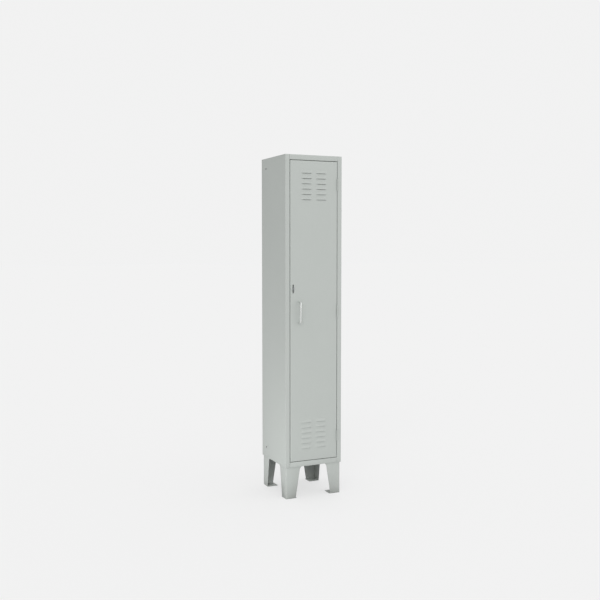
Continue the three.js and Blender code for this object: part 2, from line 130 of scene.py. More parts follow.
def punch(bm, centre, acrossAxis, halfCell, loopMaker):
    # cuts a cell out of a flat sheet and joins its rim to the loop of the hole
    centre = Vector(centre)
    for axis, half in halfCell:
        for sign in (-1, 1):
            cutAlong(bm, centre + Vector(axis) * half * sign, axis)
    cell = faceAt(bm, centre)
    rim = list(cell.edges)
    facing = cell.normal.copy()
    bmesh.ops.delete(bm, geom=[cell], context="FACES_ONLY")
    hole = loopMaker(bm, centre, acrossAxis)
    made = bmesh.ops.triangle_fill(bm, use_beauty=True, edges=rim + hole)
    bm.normal_update()
    filled = [item for item in made["geom"] if isinstance(item, bmesh.types.BMFace)]
    turned = [face for face in filled if face.normal.dot(facing) < 0]
    if turned:
        bmesh.ops.reverse_faces(bm, faces=turned)


def roundLoop(radius, rise=0.0, segments=32, riseAxis=(0, 0, 1)):
    # the rim of a round hole, or of a slot when rise is more than nothing
    def make(bm, centre, acrossAxis):
        turn = Vector((0, 0, 1)).rotation_difference(Vector(acrossAxis)).to_matrix().to_4x4()
        made = bmesh.ops.create_circle(bm, cap_ends=False, radius=radius, segments=segments,
                                       matrix=Matrix.Translation(centre) @ turn)
        verts = made["verts"]
        edges = list({edge for vert in verts for edge in vert.link_edges})
        for vert in verts:
            side = (vert.co - centre).dot(Vector(riseAxis))
            vert.co += Vector(riseAxis) * (rise if side > -1e-9 else -rise)
        return edges
    return make


def addQuad(bm, corners, facing):
    verts = [bm.verts.new(corner) for corner in corners]
    face = bm.faces.new(verts)
    face.normal_update()
    if face.normal.dot(Vector(facing)) < 0:
        face.normal_flip()
    return face


def addSlab(bm, low, high, edge, segments=2):
    low, high = Vector(low), Vector(high)
    made = bmesh.ops.create_cube(bm, size=1.0, matrix=Matrix.Translation((low + high) / 2)
                                 @ Matrix.Diagonal((*(high - low), 1)))
    edges = list({item for vert in made["verts"] for item in vert.link_edges})
    roundFolds(bm, edges, edge, segments)


def addTurned(bm, profile, centre, axis, steps=28, soften=0.0, closed=False):
    # spins a profile of (radius, height) pairs once round the axis
    axis = Vector(axis).normalized()
    turn = Vector((0, 0, 1)).rotation_difference(axis).to_matrix().to_4x4()
    own = bmesh.new()
    verts = [own.verts.new((radius, 0, height)) for radius, height in profile]
    pairs = list(zip(verts, verts[1:]))
    if closed:
        pairs.append((verts[-1], verts[0]))
    for pair in pairs:
        own.edges.new(pair)
    if soften:
        corners = [vert for vert in own.verts if len(vert.link_edges) == 2 and vert.co.x > 1e-6]
        bmesh.ops.bevel(own, geom=corners, offset=soften, offset_type="OFFSET", segments=2,
                        profile=0.5, affect="VERTICES", material=-1)
    bmesh.ops.spin(own, geom=own.verts[:] + own.edges[:], cent=(0, 0, 0), axis=(0, 0, 1),
                   angle=math.tau, steps=steps, use_merge=True)
    bmesh.ops.remove_doubles(own, verts=own.verts[:], dist=1e-6)
    bmesh.ops.recalc_face_normals(own, faces=own.faces[:])
    bmesh.ops.transform(own, matrix=Matrix.Translation(Vector(centre)) @ turn, verts=own.verts[:])
    addShell(bm, own)


def addShell(bm, other):
    mesh = bpy.data.meshes.new("shell")
    other.to_mesh(mesh)
    other.free()
    bm.from_mesh(mesh)
    bpy.data.meshes.remove(mesh)


def reopen(piece):
    bm = bmesh.new()
    bm.from_mesh(piece.data)
    return bm


def closeInto(piece, bm, sharpAngle=32):
    bm.to_mesh(piece.data)
    bm.free()
    piece.data.shade_smooth()
    piece.data.set_sharp_from_angle(angle=math.radians(sharpAngle))


def addPiece(name, bm, body, material, nodes, sheet=0.0, edge=0.25 * mm, sharpAngle=32):
    # makes the object; with a sheet thickness the shell is thickened inwards and its raw edges are softened
    mesh = bpy.data.meshes.new(name)
    bm.to_mesh(mesh)
    bm.free()
    piece = bpy.data.objects.new(name, mesh)
    bpy.context.scene.collection.objects.link(piece)
    if sheet:
        thick = piece.modifiers.new("sheet", "SOLIDIFY")
        thick.thickness = sheet
        thick.offset = -1
        thick.use_even_offset = True
        soft = piece.modifiers.new("edge", "BEVEL")
        soft.width = edge
        soft.segments = 2
        soft.limit_method = "ANGLE"
        soft.angle_limit = math.radians(55)
        bpy.context.view_layer.update()
        graph = bpy.context.evaluated_depsgraph_get()
        piece.data = bpy.data.meshes.new_from_object(piece.evaluated_get(graph))
        piece.data.name = name
        piece.modifiers.clear()
        bpy.data.meshes.remove(mesh)
    piece.data.materials.clear()
    piece.data.materials.append(material)
    piece.data.shade_smooth()
    piece.data.set_sharp_from_angle(angle=math.radians(sharpAngle))
    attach(piece, body)
    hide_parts(*nodes)
    return piece


# effects that more than one material uses
def addNode(tree, kind, values=None, **settings):
    # values are for its sockets, by label or by number
    node = tree.nodes.new(kind)
    for key, value in settings.items():
        setattr(node, key, value)
    for key, value in (values or {}).items():
        node.inputs[key].default_value = value
    return node


def newGroup(name, inputs, outputs):
    group = bpy.data.node_groups.new(name, "ShaderNodeTree")
    for label, kind, value in inputs:
        made = group.interface.new_socket(name=label, in_out="INPUT", socket_type=kind)
        made.default_value = value
    for label, kind in outputs:
        group.interface.new_socket(name=label, in_out="OUTPUT", socket_type=kind)
    return group, addNode(group, "NodeGroupInput"), addNode(group, "NodeGroupOutput")


def makePowderGroup():
    # powder paint: fine orange peel, slow clouding of the tone, and a little variation of the gloss
    group, given, out = newGroup("powderPaint", [
        ("Light", "NodeSocketColor", (0.6, 0.6, 0.6, 1)), ("Dark", "NodeSocketColor", (0.5, 0.5, 0.5, 1)),
        ("Peel Scale", "NodeSocketFloat", 700.0), ("Cloud Scale", "NodeSocketFloat", 3.0),
        ("Gloss Low", "NodeSocketFloat", 0.33), ("Gloss High", "NodeSocketFloat", 0.45),
    ], [("Color", "NodeSocketColor"), ("Roughness", "NodeSocketFloat"), ("Height", "NodeSocketFloat")])
    link = group.links.new
    place = addNode(group, "ShaderNodeTexCoord")
    peel = addNode(group, "ShaderNodeTexNoise", {"Detail": 2.0}, noise_dimensions="3D")
    link(place.outputs["Object"], peel.inputs["Vector"])
    link(given.outputs["Peel Scale"], peel.inputs["Scale"])
    cloud = addNode(group, "ShaderNodeTexNoise", {"Detail": 4.0, "Roughness": 0.6}, noise_dimensions="3D")
    link(place.outputs["Object"], cloud.inputs["Vector"])
    link(given.outputs["Cloud Scale"], cloud.inputs["Scale"])
    tone = addNode(group, "ShaderNodeMix", data_type="RGBA")
    link(cloud.outputs["Fac"], tone.inputs["Factor"])
    link(given.outputs["Dark"], tone.inputs["A"])
    link(given.outputs["Light"], tone.inputs["B"])
    link(tone.outputs["Result"], out.inputs["Color"])
    gloss = addNode(group, "ShaderNodeMapRange")
    link(cloud.outputs["Fac"], gloss.inputs["Value"])
    link(given.outputs["Gloss Low"], gloss.inputs["To Min"])
    link(given.outputs["Gloss High"], gloss.inputs["To Max"])
    link(gloss.outputs["Result"], out.inputs["Roughness"])
    link(peel.outputs["Fac"], out.inputs["Height"])
    return group


def makeDustGroup():
    # a mask for what gathers low down and on ledges: strongest at the floor and on faces that look up
    group, given, out = newGroup("settledDust", [
        ("Reach", "NodeSocketFloat", 0.2), ("Amount", "NodeSocketFloat", 0.3),
        ("Grain", "NodeSocketFloat", 60.0),
    ], [("Mask", "NodeSocketFloat")])
    link = group.links.new
    place = addNode(group, "ShaderNodeTexCoord")
    split = addNode(group, "ShaderNodeSeparateXYZ")
    link(place.outputs["Object"], split.inputs["Vector"])
    low = addNode(group, "ShaderNodeMapRange", {"To Min": 1.0, "To Max": 0.0},
                  interpolation_type="SMOOTHSTEP")
    link(split.outputs["Z"], low.inputs["Value"])
    link(given.outputs["Reach"], low.inputs["From Max"])
    facing = addNode(group, "ShaderNodeNewGeometry")
    normalSplit = addNode(group, "ShaderNodeSeparateXYZ")
    link(facing.outputs["Normal"], normalSplit.inputs["Vector"])
    up = addNode(group, "ShaderNodeMapRange", {"From Min": 0.75, "From Max": 1.0})
    link(normalSplit.outputs["Z"], up.inputs["Value"])
    either = addNode(group, "ShaderNodeMath", operation="MAXIMUM")
    link(low.outputs["Result"], either.inputs[0])
    link(up.outputs["Result"], either.inputs[1])
    speck = addNode(group, "ShaderNodeTexNoise", {"Detail": 5.0}, noise_dimensions="3D")
    link(place.outputs["Object"], speck.inputs["Vector"])
    link(given.outputs["Grain"], speck.inputs["Scale"])
    broken = addNode(group, "ShaderNodeMapRange", {"From Min": 0.35, "From Max": 0.75})
    link(speck.outputs["Fac"], broken.inputs["Value"])
    both = addNode(group, "ShaderNodeMath", operation="MULTIPLY")
    link(either.outputs[0], both.inputs[0])
    link(broken.outputs["Result"], both.inputs[1])
    final = addNode(group, "ShaderNodeMath", operation="MULTIPLY", use_clamp=True)
    link(both.outputs[0], final.inputs[0])
    link(given.outputs["Amount"], final.inputs[1])
    link(final.outputs[0], out.inputs["Mask"])
    return group


def makeLineGroup():
    # long fine lines from drawing or handling, along the axis that Stretch makes slow
    group, given, out = newGroup("fineLines", [
        ("Stretch", "NodeSocketVector", (400.0, 400.0, 12.0)), ("Rough Low", "NodeSocketFloat", 0.2),
        ("Rough High", "NodeSocketFloat", 0.4),
    ], [("Roughness", "NodeSocketFloat"), ("Height", "NodeSocketFloat")])
    link = group.links.new
    place = addNode(group, "ShaderNodeTexCoord")
    scale = addNode(group, "ShaderNodeVectorMath", operation="MULTIPLY")
    link(place.outputs["Object"], scale.inputs[0])
    link(given.outputs["Stretch"], scale.inputs[1])
    lines = addNode(group, "ShaderNodeTexNoise", {"Scale": 4.0, "Detail": 3.0}, noise_dimensions="3D")
    link(scale.outputs[0], lines.inputs["Vector"])
    spread = addNode(group, "ShaderNodeMapRange")
    link(lines.outputs["Fac"], spread.inputs["Value"])
    link(given.outputs["Rough Low"], spread.inputs["To Min"])
    link(given.outputs["Rough High"], spread.inputs["To Max"])
    link(spread.outputs["Result"], out.inputs["Roughness"])
    link(lines.outputs["Fac"], out.inputs["Height"])
    return group


powderGroup = makePowderGroup()
dustGroup = makeDustGroup()
lineGroup = makeLineGroup()


# materials
def newMaterial(name):
    material = bpy.data.materials.new(name)
    material.use_nodes = True
    tree = material.node_tree
    return material, tree, tree.nodes["Principled BSDF"]


def useGroup(tree, group, **values):
    node = addNode(tree, "ShaderNodeGroup", node_tree=group)
    for label, value in values.items():
        node.inputs[label.replace("_", " ")].default_value = value
    return node


def addBump(tree, height, shader, strength, distance):
    bump = addNode(tree, "ShaderNodeBump", {"Strength": strength, "Distance": distance})
    tree.links.new(height, bump.inputs["Height"])
    tree.links.new(bump.outputs["Normal"], shader.inputs["Normal"])


paintSettings = {
    "light": (0.548, 0.580, 0.555, 1), "dark": (0.520, 0.552, 0.527, 1),
    "dust": (0.56, 0.55, 0.52, 1), "dustReach": 0.12, "dustAmount": 0.35, "dustDulls": 0.3,
    "peelScale": 620.0, "peelDepth": 0.00008, "peelStrength": 0.35,
}
zincSettings = {
    "light": (0.66, 0.67, 0.68, 1), "dark": (0.52, 0.53, 0.55, 1), "stretch": (300.0, 300.0, 300.0),
    "roughLow": 0.26, "roughHigh": 0.42, "lineDepth": 0.00004, "lineStrength": 0.15,
}
nickelSettings = {
    "light": (0.95, 0.97, 0.95, 1), "dark": (0.87, 0.89, 0.87, 1), "stretch": (500.0, 500.0, 8.0),
    "roughLow": 0.14, "roughHigh": 0.24, "lineDepth": 0.00001, "lineStrength": 0.15,
}
rubberSettings = {
    "light": (0.035, 0.035, 0.035, 1), "dark": (0.022, 0.022, 0.022, 1),
    "glossLow": 0.7, "glossHigh": 0.85, "grain": 900.0, "grainDepth": 0.0001, "grainStrength": 0.4,
}
magnetSettings = {
    "light": (0.07, 0.07, 0.075, 1), "dark": (0.045, 0.045, 0.05, 1),
    "glossLow": 0.55, "glossHigh": 0.7, "grain": 1200.0, "grainDepth": 0.0001, "grainStrength": 0.4,
    "edge": 0.5 * mm,
}
plasticSettings = {
    "light": (0.06, 0.063, 0.067, 1), "dark": (0.045, 0.048, 0.052, 1),
    "glossLow": 0.38, "glossHigh": 0.5, "grain": 1500.0, "grainDepth": 0.00006, "grainStrength": 0.4,
}


def makePaint(name, cfg):
    material, tree, shader = newMaterial(name)
    link = tree.links.new
    powder = useGroup(tree, powderGroup, Light=cfg["light"], Dark=cfg["dark"], Peel_Scale=cfg["peelScale"])
    dust = useGroup(tree, dustGroup, Reach=cfg["dustReach"], Amount=cfg["dustAmount"])
    mix = addNode(tree, "ShaderNodeMix", {"B": cfg["dust"]}, data_type="RGBA")
    link(dust.outputs["Mask"], mix.inputs["Factor"])
    link(powder.outputs["Color"], mix.inputs["A"])
    link(mix.outputs["Result"], shader.inputs["Base Color"])
    dull = addNode(tree, "ShaderNodeMath", {1: cfg["dustDulls"]}, operation="MULTIPLY_ADD")
    link(dust.outputs["Mask"], dull.inputs[0])
    link(powder.outputs["Roughness"], dull.inputs[2])
    link(dull.outputs[0], shader.inputs["Roughness"])
    addBump(tree, powder.outputs["Height"], shader, cfg["peelStrength"], cfg["peelDepth"])
    return material


def makeMetal(name, cfg):
    material, tree, shader = newMaterial(name)
    link = tree.links.new
    lines = useGroup(tree, lineGroup, Stretch=cfg["stretch"], Rough_Low=cfg["roughLow"],
                     Rough_High=cfg["roughHigh"])
    tone = addNode(tree, "ShaderNodeMix", {"A": cfg["dark"], "B": cfg["light"]}, data_type="RGBA")
    link(lines.outputs["Height"], tone.inputs["Factor"])
    link(tone.outputs["Result"], shader.inputs["Base Color"])
    link(lines.outputs["Roughness"], shader.inputs["Roughness"])
    shader.inputs["Metallic"].default_value = 1.0
    addBump(tree, lines.outputs["Height"], shader, cfg["lineStrength"], cfg["lineDepth"])
    return material


def makeMoulded(name, cfg):
    material, tree, shader = newMaterial(name)
    link = tree.links.new
    powder = useGroup(tree, powderGroup, Light=cfg["light"], Dark=cfg["dark"], Peel_Scale=cfg["grain"],
                      Gloss_Low=cfg["glossLow"], Gloss_High=cfg["glossHigh"])
    link(powder.outputs["Color"], shader.inputs["Base Color"])
    link(powder.outputs["Roughness"], shader.inputs["Roughness"])
    addBump(tree, powder.outputs["Height"], shader, cfg["grainStrength"], cfg["grainDepth"])
    return material


paint = makePaint("greyPowderPaint", paintSettings)
zinc = makeMetal("brightZinc", zincSettings)
nickel = makeMetal("satinNickel", nickelSettings)
rubber = makeMoulded("blackRubber", rubberSettings)
ferrite = makeMoulded("magnetStrip", magnetSettings)
moulded = makeMoulded("hookPlastic", plasticSettings)
print("materials made")


# body panels
panelSettings = {
    "sheet": 1.2 * mm, "fold": 1.8 * mm, "stileWidth": 24.5 * mm, "stopWidth": 14 * mm,
    "railHeight": 26.5 * mm, "trayFlange": 20 * mm,
}
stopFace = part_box("door_bumper_top")[1].y + joinGap
railUnder = bodyTop - panelSettings["railHeight"]
railEnd = bodyRight - panelSettings["stileWidth"] - joinGap
innerLeft, innerRight = floorLow.x, floorHigh.x
innerBack = floorHigh.y

sideSettings = {
    "rearFlange": 16 * mm, "keptFold": 0.6, "holeRadius": 5 * mm, "holeCell": 7 * mm,
    "holeFromRear": 62.5 * mm, "holeBelowTop": 55 * mm, "holeAboveBottom": 56 * mm,
}


def makeSidePanel(name, side):
    cfg, shared = sideSettings, panelSettings
    outer = bodyLeft if side < 0 else bodyRight
    inward = -side
    stileEdge = outer + inward * shared["stileWidth"]
    stopEdge = stileEdge + inward * shared["stopWidth"]
    points = [
        (stopEdge, stopFace, 0), (stileEdge, stopFace, 0), (stileEdge, bodyFront, 0), (outer, bodyFront, 0),
        (outer, bodyBack, 0), (outer + inward * cfg["rearFlange"], bodyBack, 0),
    ]
    bm = foldedStrip(points, (0, 0, 1), bodyBottom, [sideHigh.z], (0, -1, 0), shared["fold"])
    # the return and the stop flange end where the floor and the top rail begin
    lowEnd, highEnd = floorTop + joinGap, railUnder - joinGap
    cutAlong(bm, (0, 0, lowEnd), (0, 0, 1))
    cutAlong(bm, (0, 0, highEnd), (0, 0, 1))
    reach = shared["stileWidth"] - shared["fold"]
    behind = bodyFront + shared["fold"] * cfg["keptFold"]
    dropFaces(bm, lambda centre: not lowEnd < centre.z < highEnd
              and (centre.x - outer) * inward > reach and centre.y > behind)
    cell = [((0, 1, 0), cfg["holeCell"]), ((0, 0, 1), cfg["holeCell"])]
    for height in (bodyTop - cfg["holeBelowTop"], bodyBottom + cfg["holeAboveBottom"]):
        place = (outer, bodyBack - cfg["holeFromRear"], height)
        punch(bm, place, (1, 0, 0), cell, roundLoop(cfg["holeRadius"]))
    addPiece("steel_" + name, bm, "carcass", paint, [name], sheet=shared["sheet"])


topSettings = {"fold": 1.45 * mm}


def makeTopPanel():
    cfg, shared = topSettings, panelSettings
    points = [
        (0, bodyBack, bodyTop), (0, bodyFront, bodyTop), (0, bodyFront, railUnder),
        (0, stopFace, railUnder), (0, stopFace, railUnder - shared["stopWidth"]),
    ]
    bm = foldedStrip(points, (1, 0, 0), bodyLeft, [bodyRight], (0, 0, 1), cfg["fold"])
    lipEnd = railEnd - shared["stopWidth"]
    for end in (railEnd, lipEnd):
        cutAlong(bm, (end, 0, 0), (1, 0, 0))
        cutAlong(bm, (-end, 0, 0), (1, 0, 0))
    capUnder = bodyTop - cfg["fold"] - hair
    lipFront = stopFace - cfg["fold"]
    dropFaces(bm, lambda centre: abs(centre.x) > railEnd and centre.z < capUnder)
    dropFaces(bm, lambda centre: abs(centre.x) > lipEnd and centre.z < railUnder and centre.y > lipFront)
    ringFront = bodyFront + shared["stileWidth"]
    ring = [
        (innerLeft, ringFront, 0), (innerLeft, innerBack, 0), (innerRight, innerBack, 0),
        (innerRight, ringFront, 0),
    ]
    flanges = foldedStrip(ring, (0, 0, 1), bodyTop - shared["trayFlange"], [bodyTop - shared["sheet"]],
                          (-1, 0, 0), shared["fold"])
    addShell(bm, flanges)
    addPiece("steel_top_panel", bm, "carcass", paint, ["top_panel"], sheet=shared["sheet"])


def makeBottomPanel():
    shared = panelSettings
    under = floorTop - shared["trayFlange"]
    points = [
        (0, innerBack, under), (0, innerBack, floorTop), (0, bodyFront, floorTop), (0, bodyFront, bodyBottom),
    ]
    bm = foldedStrip(points, (1, 0, 0), innerLeft, [innerRight], (0, 1, 0), shared["fold"])
    notchBack = bodyFront + shared["sheet"] + joinGap + shared["fold"]
    for end in (railEnd, -railEnd):
        cutAlong(bm, (end, 0, 0), (1, 0, 0))
    cutAlong(bm, (0, notchBack, 0), (0, 1, 0))
    dropFaces(bm, lambda centre: abs(centre.x) > railEnd and centre.y < notchBack)
    for side in (innerLeft, innerRight):
        rim = [edge for edge in bm.edges if len(edge.link_faces) == 1
               and all(abs(vert.co.x - side) < tiny and vert.co.z > floorTop - tiny for vert in edge.verts)]
        made = bmesh.ops.extrude_edge_only(bm, edges=rim)
        bmesh.ops.translate(bm, verts=newVerts(made), vec=(0, 0, under - floorTop))
    addPiece("steel_bottom_panel", bm, "carcass", paint, ["bottom_panel"], sheet=shared["sheet"])


def makeBackPanel():
    low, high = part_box("back_panel")
    bm = bmesh.new()
    addQuad(bm, [(low.x, high.y, low.z), (high.x, high.y, low.z), (high.x, high.y, high.z),
                 (low.x, high.y, high.z)], (0, 1, 0))
    addPiece("steel_back_panel", bm, "carcass", paint, ["back_panel"], sheet=panelSettings["sheet"])


def makeHatShelf():
    shared = panelSettings
    low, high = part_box("hat_shelf")
    bm = bmesh.new()
    addQuad(bm, [(low.x, low.y, high.z), (high.x, low.y, high.z), (high.x, high.y, high.z),
                 (low.x, high.y, high.z)], (0, 0, 1))
    made = bmesh.ops.extrude_edge_only(bm, edges=bm.edges[:])
    bmesh.ops.translate(bm, verts=newVerts(made), vec=(0, 0, low.z - high.z))
    folds = [edge for edge in bm.edges if len(edge.link_faces) == 2]
    roundFolds(bm, folds, shared["fold"])
    addPiece("steel_hat_shelf", bm, "carcass", paint, ["hat_shelf"], sheet=shared["sheet"])


makeSidePanel("left_side_panel", -1)
makeSidePanel("right_side_panel", 1)
makeTopPanel()
makeBottomPanel()
makeBackPanel()
makeHatShelf()
print("body panels made")


# legs, with the bolt and the nut that hold each of them
legSettings = {
    "sheet": 2 * mm, "fold": 3 * mm, "footWidth": 55 * mm, "neckWidth": 80 * mm, "topWidth": 90 * mm,
    "neckDrop": 12 * mm, "plate": 61 * mm, "cap": 46 * mm, "plateInset": 0.8 * mm, "plateCorner": 6 * mm,
    "edge": 0.35 * mm,
}


def makeLeg(name, inX, inY):
    cfg = legSettings
    low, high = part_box("leg_" + name)
    cornerX = low.x if inX > 0 else high.x
    cornerY = low.y if inY > 0 else high.y
    wide = cfg["topWidth"]
    points = [(cornerX + inX * wide, cornerY, 0), (cornerX, cornerY, 0), (cornerX, cornerY + inY * wide, 0)]
    neck = bodyBottom - cfg["neckDrop"]
    bm = foldedStrip(points, (0, 0, 1), 0.0, [neck, bodyBottom, high.z], (0, -inY, 0), cfg["fold"])
    # the two webs taper towards the foot
    for height, width in ((0.0, cfg["footWidth"]), (neck, cfg["neckWidth"])):
        for vert in [vert for vert in bm.verts if abs(vert.co.z - height) < tiny]:
            if abs(vert.co.x - cornerX) > wide - tiny:
                vert.co.x = cornerX + inX * width
            if abs(vert.co.y - cornerY) > wide - tiny:
                vert.co.y = cornerY + inY * width
    nearX, nearY = cornerX + inX * cfg["plateInset"], cornerY + inY * cfg["plateInset"]
    for size, height, facing in ((cfg["plate"], 0.0, -1), (cfg["cap"], high.z, 1)):
        farX, farY = cornerX + inX * size, cornerY + inY * size
        face = addQuad(bm, [(nearX, nearY, height), (farX, nearY, height), (farX, farY, height),
                            (nearX, farY, height)], (0, 0, facing))
        corner = max(face.verts, key=lambda vert: (vert.co.x - cornerX) ** 2 + (vert.co.y - cornerY) ** 2)
        bmesh.ops.bevel(bm, geom=[corner], offset=cfg["plateCorner"], offset_type="OFFSET", segments=5,
                        profile=0.5, affect="VERTICES", material=-1)
    addPiece("steel_leg_" + name, bm, "carcass", paint, ["leg_" + name],
             sheet=cfg["sheet"], edge=cfg["edge"])


boltSettings = {"shank": 4 * mm, "point": 0.8 * mm, "headRim": 0.8 * mm, "domeStep": 10}


def makeBolt(name):
    cfg = boltSettings
    low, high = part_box("leg_bolt_" + name)
    centre = (low + high) / 2
    head, shank = (high.x - low.x) / 2, cfg["shank"]
    under = floorTop + joinGap
    rim = under + cfg["headRim"]
    dome = []
    for degrees in range(0, 90, cfg["domeStep"]):
        angle = math.radians(degrees)
        dome.append((head * math.cos(angle), rim + (high.z - rim) * math.sin(angle)))
    profile = [
        (0, low.z), (shank - cfg["point"], low.z), (shank, low.z + cfg["point"]), (shank, under),
        (head, under), *dome, (0, high.z),
    ]
    bm = bmesh.new()
    addTurned(bm, profile, (centre.x, centre.y, 0), (0, 0, 1))
    addPiece("zinc_leg_bolt_" + name, bm, "carcass", zinc, ["leg_bolt_" + name])


nutSettings = {"bore": 4.3 * mm, "boreSides": 24, "edge": 0.5 * mm}


def makeNut(name):
    cfg = nutSettings
    low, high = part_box("leg_nut_" + name)
    centre = (low + high) / 2
    bm = bmesh.new()
    for radius, sides in (((high.y - low.y) / 2, 6), (cfg["bore"], cfg["boreSides"])):
        bmesh.ops.create_circle(bm, cap_ends=False, radius=radius, segments=sides,
                                matrix=Matrix.Translation((centre.x, centre.y, low.z)))
    bmesh.ops.bridge_loops(bm, edges=bm.edges[:])
    made = bmesh.ops.extrude_face_region(bm, geom=bm.faces[:])
    bmesh.ops.translate(bm, verts=newVerts(made), vec=(0, 0, high.z - low.z))
    bmesh.ops.recalc_face_normals(bm, faces=bm.faces[:])
    roundFolds(bm, foldsOf(bm, 0.8), cfg["edge"], 2)
    addPiece("zinc_leg_nut_" + name, bm, "carcass", zinc, ["leg_nut_" + name])


for depthName, inY in (("front", 1), ("rear", -1)):
    for sideName, inX in (("left", 1), ("right", -1)):
        corner = depthName + "_" + sideName
        makeLeg(corner, inX, inY)
        makeBolt(corner)
        makeNut(corner)
print("legs made")


# door
doorSettings = {
    "sheet": 1 * mm, "fold": 1.6 * mm, "rim": 12 * mm, "edge": 0.2 * mm,
    "slotFromEdge": 16.5 * mm, "slotWidth": 5.5 * mm, "slotHeight": 46 * mm, "slotSide": 3 * mm,
    "slotEnd": 6 * mm,
}
# across and up are where the sheet is cut, in millimetres from the hood's end and from its slit
louvreSettings = {
    "width": 67 * mm, "columnGap": 17 * mm, "rise": 14 * mm, "reach": 4.0 * mm, "pitch": 27.3 * mm,
    "rows": 6, "inset": 65 * mm, "endRun": 15 * mm, "lift": 1.2 * mm, "closedEnd": 0.8 * mm,
    "across": [-1.5, 0.0, 1.6, 3.4, 5.6, 8.2, 11.0, 14.5, 24.0],
    "up": [-1.5, 0.0, 1.6, 3.6, 6.0, 8.6, 11.2, 13.0, 14.0, 15.5],
}
slotX = doorLow.x + doorSettings["slotFromEdge"]
slotZ = sum(corner.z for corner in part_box("padlock_eye")) / 2


def louvreRowsAndColumns():
    cfg = louvreSettings
    middle = (doorLow.x + doorHigh.x) / 2
    offset = (cfg["width"] + cfg["columnGap"]) / 2
    steps = [index * cfg["pitch"] for index in range(cfg["rows"])]
    slits = [doorHigh.z - cfg["inset"] - step for step in steps]
    slits += [doorLow.z + cfg["inset"] + step for step in steps]
    return slits, [middle - offset, middle + offset]


def pressLouvre(bm, column, slit):
    # opens the slit and pushes the sheet above it out into a hood
    cfg = louvreSettings
    half = cfg["width"] / 2
    tip = half - cfg["closedEnd"]
    lip = [edge for edge in bm.edges if all(abs(vert.co.z - slit) < tiny and abs(vert.co.y - bodyFront) < tiny
                                            and abs(vert.co.x - column) < half + tiny for vert in edge.verts)]
    bmesh.ops.split_edges(bm, edges=lip)
    for vert in bm.verts:
        across = abs(vert.co.x - column)
        up = (vert.co.z - slit) / cfg["rise"]
        if across > tip or not -1e-4 < up < 0.999 or abs(vert.co.y - bodyFront) > tiny:
            continue
        if up < 1e-4 and min(face.calc_center_median().z for face in vert.link_faces) < slit:
            continue
        end = smoothStep((half - across) / cfg["endRun"])
        push = end * math.sin((1 - max(0.0, up)) * math.pi / 2)
        vert.co.y -= cfg["reach"] * push
        vert.co.z += cfg["lift"] * end * (1 - up) ** 2


def cutFace(bm, place, axis):
    # cuts only the door's flat face, so that the returns stay in one piece
    bm.normal_update()
    flat = [face for face in bm.faces if face.normal.y < -0.999]
    verts = {vert for face in flat for vert in face.verts}
    edges = {edge for face in flat for edge in face.edges}
    bmesh.ops.bisect_plane(bm, geom=list(verts | edges | set(flat)), plane_co=Vector(axis) * place,
                           plane_no=axis, dist=1e-7)


def makeDoorPan():
    cfg, hood = doorSettings, louvreSettings
    bm = bmesh.new()
    addQuad(bm, [(doorLow.x, bodyFront, doorLow.z), (doorHigh.x, bodyFront, doorLow.z),
                 (doorHigh.x, bodyFront, doorHigh.z), (doorLow.x, bodyFront, doorHigh.z)], (0, -1, 0))
    made = bmesh.ops.extrude_edge_only(bm, edges=bm.edges[:])
    bmesh.ops.translate(bm, verts=newVerts(made), vec=(0, doorHigh.y - bodyFront, 0))
    rimVerts = set(newVerts(made))
    rimEdges = [edge for edge in bm.edges if edge.verts[0] in rimVerts and edge.verts[1] in rimVerts]
    made = bmesh.ops.extrude_edge_only(bm, edges=rimEdges)
    middle = (doorLow + doorHigh) / 2
    for vert in newVerts(made):
        vert.co.x += cfg["rim"] * (1 if vert.co.x < middle.x else -1)
        vert.co.z += cfg["rim"] * (1 if vert.co.z < middle.z else -1)
    bm.normal_update()
    roundFolds(bm, foldsOf(bm), cfg["fold"])

    slits, columns = louvreRowsAndColumns()
    half = hood["width"] / 2
    acrossCuts = sorted({column + sign * (half - step * mm) for column in columns for sign in (-1, 1)
                         for step in hood["across"]})
    upCuts = sorted({slit + step * mm for slit in slits for step in hood["up"]})
    for place in acrossCuts:
        cutFace(bm, place, (1, 0, 0))
    for place in upCuts:
        cutFace(bm, place, (0, 0, 1))
    for column in columns:
        for slit in slits:
            pressLouvre(bm, column, slit)
    radius = cfg["slotWidth"] / 2
    rise = cfg["slotHeight"] / 2 - radius
    cell = [((1, 0, 0), radius + cfg["slotSide"]), ((0, 0, 1), rise + cfg["slotEnd"])]
    punch(bm, (slotX, bodyFront, slotZ), (0, 1, 0), cell, roundLoop(radius, rise))
    addPiece("steel_door_pan", bm, "door", paint, ["door_pan"], sheet=cfg["sheet"],
             edge=cfg["edge"])


stiffenerSettings = {"brim": 12 * mm, "fold": 1.5 * mm}


def makeStiffener():
    cfg, sheet = stiffenerSettings, doorSettings["sheet"]
    low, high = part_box("door_stiffener")
    inner, outer = low.x + cfg["brim"], high.x - cfg["brim"]
    brimY = low.y + sheet
    points = [(low.x, brimY, 0), (inner, brimY, 0), (inner, high.y, 0),
              (outer, high.y, 0), (outer, brimY, 0), (high.x, brimY, 0)]
    bm = foldedStrip(points, (0, 0, 1), low.z, [high.z], (0, 1, 0), cfg["fold"])
    addPiece("steel_door_stiffener", bm, "door", paint, ["door_stiffener"], sheet=sheet)


handleSettings = {"bar": 10 * mm, "bend": 13 * mm, "sides": 28, "bendSteps": 10}


